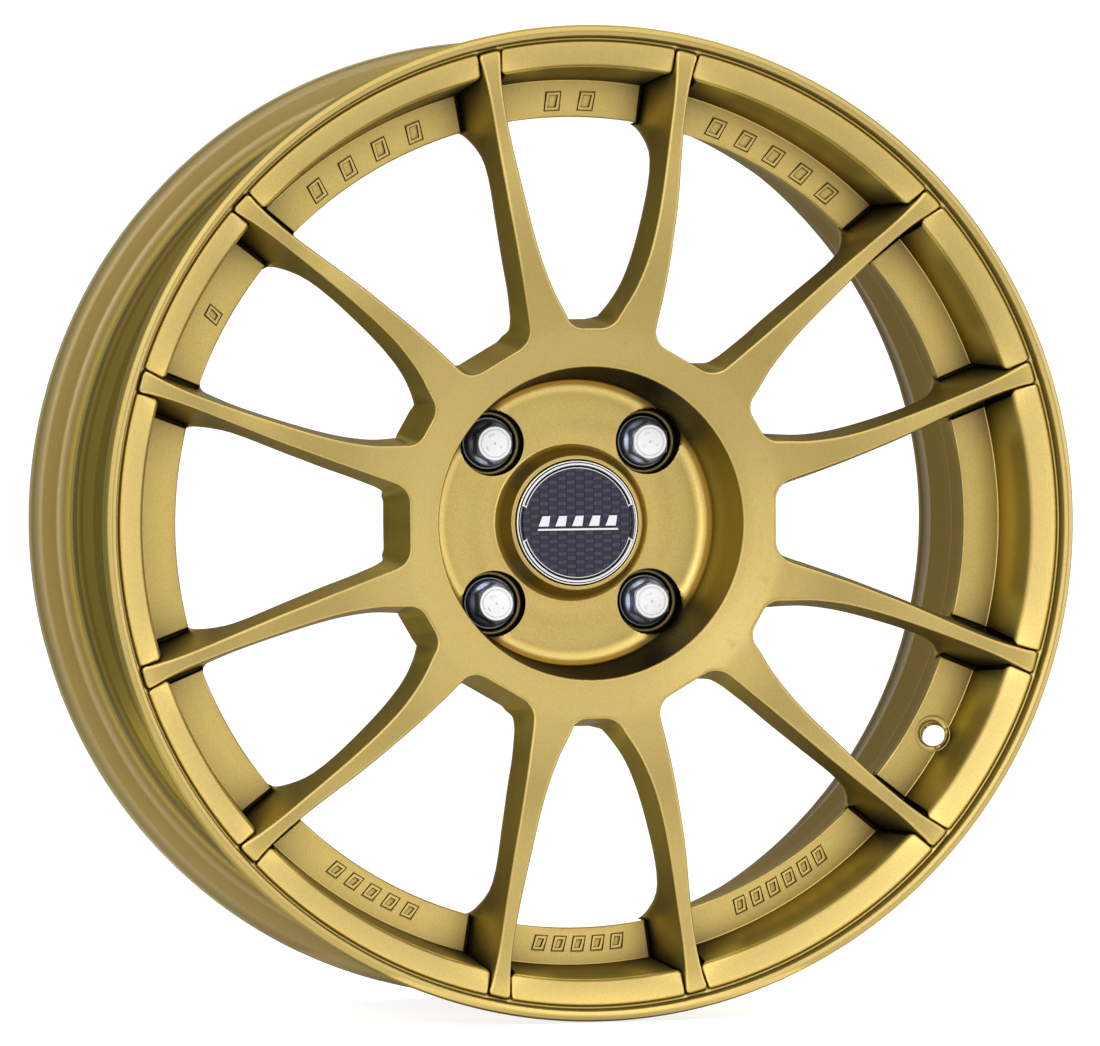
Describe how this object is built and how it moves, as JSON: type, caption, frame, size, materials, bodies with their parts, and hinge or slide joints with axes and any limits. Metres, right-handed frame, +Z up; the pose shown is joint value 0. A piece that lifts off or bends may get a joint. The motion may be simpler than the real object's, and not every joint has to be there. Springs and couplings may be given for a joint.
{
  "type": "car wheel rim",
  "caption": "Gold racing wheel rim with paired slender spokes, a deep drop-centre barrel, a recessed bolt face, dark wheel bolts and a clip-in centre cap.",
  "frame": {"origin": "centre of the hub's mounting face, on the wheel's axis", "axes": "+Y along the wheel's axis towards the car, +Z up, the outer face looks along -Y"},
  "size_m": [0.4712, 0.2101, 0.4712],
  "materials": {
    "gold_paint": "satin metallic gold paint on forged aluminium",
    "dark_chrome": "polished dark zinc-nickel",
    "seat_steel": "turned steel",
    "chrome": "bright chrome",
    "dark_weave": "lacquered dark blue-grey weave",
    "cap_plastic": "fine grain",
    "ring_plastic": "smooth moulded"
  },
  "bodies": {
    "wheel": {"rim_barrel": "gold_paint", "wheel_centre": "gold_paint", "bolt_seat_1": "seat_steel", "bolt_seat_2": "seat_steel", "bolt_seat_3": "seat_steel", "bolt_seat_4": "seat_steel"},
    "centring_ring": {"centring_ring": "ring_plastic"},
    "cap": {"cap_body": "cap_plastic", "cap_spring_ring": "seat_steel", "cap_trim_ring": "chrome", "cap_badge": "dark_weave", "cap_emblem": "chrome"},
    "bolt_collar_1": {"bolt_collar_1": "dark_chrome"},
    "wheel_bolt_1": {"wheel_bolt_1": "dark_chrome"},
    "bolt_collar_2": {"bolt_collar_2": "dark_chrome"},
    "wheel_bolt_2": {"wheel_bolt_2": "dark_chrome"},
    "bolt_collar_3": {"bolt_collar_3": "dark_chrome"},
    "wheel_bolt_3": {"wheel_bolt_3": "dark_chrome"},
    "bolt_collar_4": {"bolt_collar_4": "dark_chrome"},
    "wheel_bolt_4": {"wheel_bolt_4": "dark_chrome"}
  },
  "joints": [
    {"name": "bolt_1_travel", "type": "slide", "parent": "wheel", "child": "bolt_collar_1", "axis": [0, -1, 0], "range_m": [0, 0.06]},
    {"name": "bolt_1_turn", "type": "hinge", "parent": "bolt_collar_1", "child": "wheel_bolt_1", "pos_m": [0.03818, -0.0202, 0.03818], "axis": [0, -1, 0], "range_deg": [0, 14460]},
    {"name": "bolt_2_travel", "type": "slide", "parent": "wheel", "child": "bolt_collar_2", "axis": [0, -1, 0], "range_m": [0, 0.06]},
    {"name": "bolt_2_turn", "type": "hinge", "parent": "bolt_collar_2", "child": "wheel_bolt_2", "pos_m": [-0.03818, -0.0202, 0.03818], "axis": [0, -1, 0], "range_deg": [0, 14460]},
    {"name": "bolt_3_travel", "type": "slide", "parent": "wheel", "child": "bolt_collar_3", "axis": [0, -1, 0], "range_m": [0, 0.06]},
    {"name": "bolt_3_turn", "type": "hinge", "parent": "bolt_collar_3", "child": "wheel_bolt_3", "pos_m": [-0.03818, -0.0202, -0.03818], "axis": [0, -1, 0], "range_deg": [0, 14460]},
    {"name": "bolt_4_travel", "type": "slide", "parent": "wheel", "child": "bolt_collar_4", "axis": [0, -1, 0], "range_m": [0, 0.06]},
    {"name": "bolt_4_turn", "type": "hinge", "parent": "bolt_collar_4", "child": "wheel_bolt_4", "pos_m": [0.03818, -0.0202, -0.03818], "axis": [0, -1, 0], "range_deg": [0, 14460]},
    {"name": "cap_pull", "type": "slide", "parent": "wheel", "child": "cap", "axis": [0, -1, 0], "range_m": [0, 0.03]},
    {"name": "centring_ring_pull", "type": "slide", "parent": "wheel", "child": "centring_ring", "axis": [0, 1, 0], "range_m": [0, 0.02]}
  ],
  "couplings": [
    {"joint": "bolt_1_turn", "follows": "bolt_1_travel", "rad_per_m": 4188.8},
    {"joint": "bolt_2_turn", "follows": "bolt_2_travel", "rad_per_m": 4188.8},
    {"joint": "bolt_3_turn", "follows": "bolt_3_travel", "rad_per_m": 4188.8},
    {"joint": "bolt_4_turn", "follows": "bolt_4_travel", "rad_per_m": 4188.8}
  ]
}
